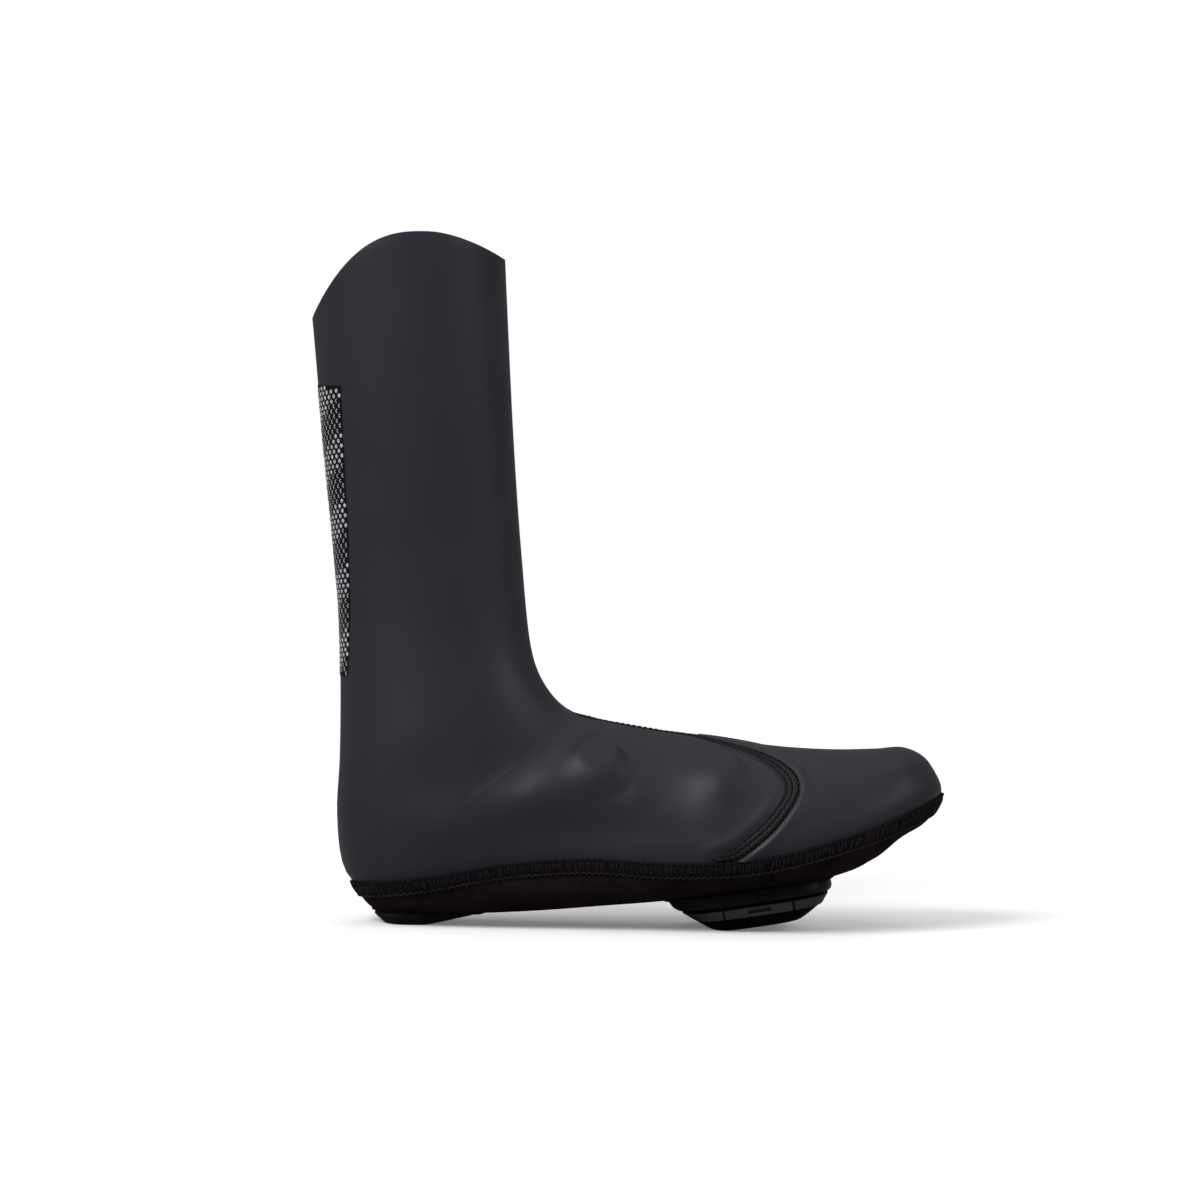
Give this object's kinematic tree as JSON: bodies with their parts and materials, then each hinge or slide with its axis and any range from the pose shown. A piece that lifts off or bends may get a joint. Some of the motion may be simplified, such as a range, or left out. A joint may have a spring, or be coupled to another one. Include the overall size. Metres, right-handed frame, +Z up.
{
  "type": "neoprene overshoe",
  "caption": "Tall neoprene cycling overshoe for the right foot with a raised toe seam, fabric sole and reflective back panel, standing on the heel pad and cleat that show below it.",
  "frame": {"origin": "on the floor under the middle of the bounding box", "axes": "+X from heel to toe, +Y to the medial side, +Z up along the shaft"},
  "size_m": [0.3052, 0.1032, 0.3282],
  "materials": {
    "neoprene": "smooth matte foam rubber with a soft sheen",
    "sole_fabric": "matte woven",
    "seam_thread": "matte stitched tape",
    "reflective_print": "silver-grey dot print",
    "insole_board": "matte",
    "heel_rubber": "matte",
    "cleat_plastic": "satin moulded",
    "bolt_steel": "dark satin"
  },
  "bodies": {
    "root": {"upper": "neoprene", "sole_panel": "sole_fabric", "insole": "insole_board", "toe_seam": "seam_thread", "sole_seam": "seam_thread", "reflective_panel": "reflective_print", "heel_pad": "heel_rubber", "cleat_base": "cleat_plastic", "cleat_spacer": "cleat_plastic", "cleat_body": "cleat_plastic", "cleat_tread": "cleat_plastic", "cleat_bolt_front": "bolt_steel", "cleat_bolt_lateral": "bolt_steel", "cleat_bolt_medial": "bolt_steel"}
  },
  "joints": []
}
